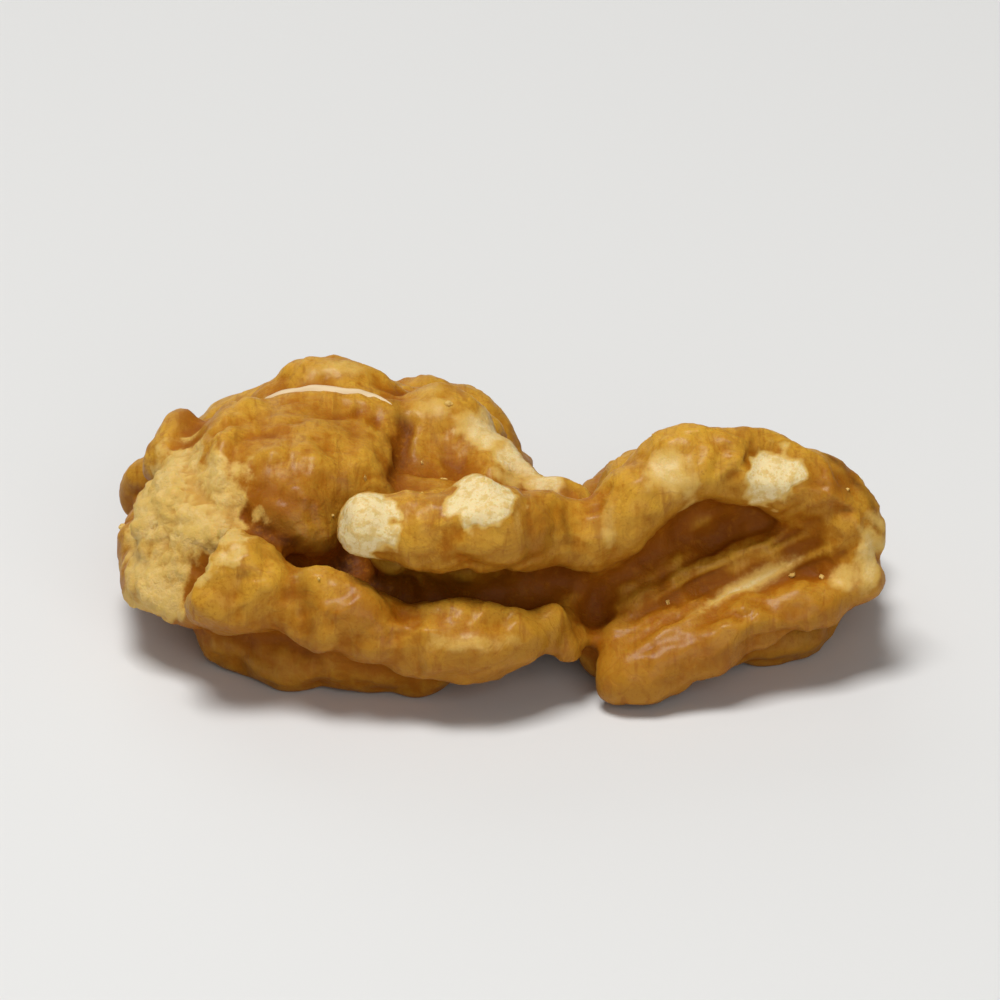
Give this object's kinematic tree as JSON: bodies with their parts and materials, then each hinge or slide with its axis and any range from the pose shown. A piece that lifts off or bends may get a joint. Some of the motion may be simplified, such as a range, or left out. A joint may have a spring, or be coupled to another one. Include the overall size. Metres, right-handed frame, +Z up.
{
  "type": "walnut kernel half",
  "caption": "Shelled walnut half: a two-lobed, deeply folded kernel with a chipped pale end, lying on its inner face.",
  "frame": {"origin": "on the surface that the kernel rests on, below the middle of its box", "axes": "+X across the two lobes, towards the folded right wing; +Y along the furrow, away from the front; +Z up, away from the inner face"},
  "size_m": [0.034, 0.0274, 0.0116],
  "materials": {
    "walnut_skin": "thin golden-brown skin with a slight oily shine, cream where it is rubbed or broken"
  },
  "bodies": {
    "root": {"kernel": "walnut_skin"}
  },
  "joints": []
}
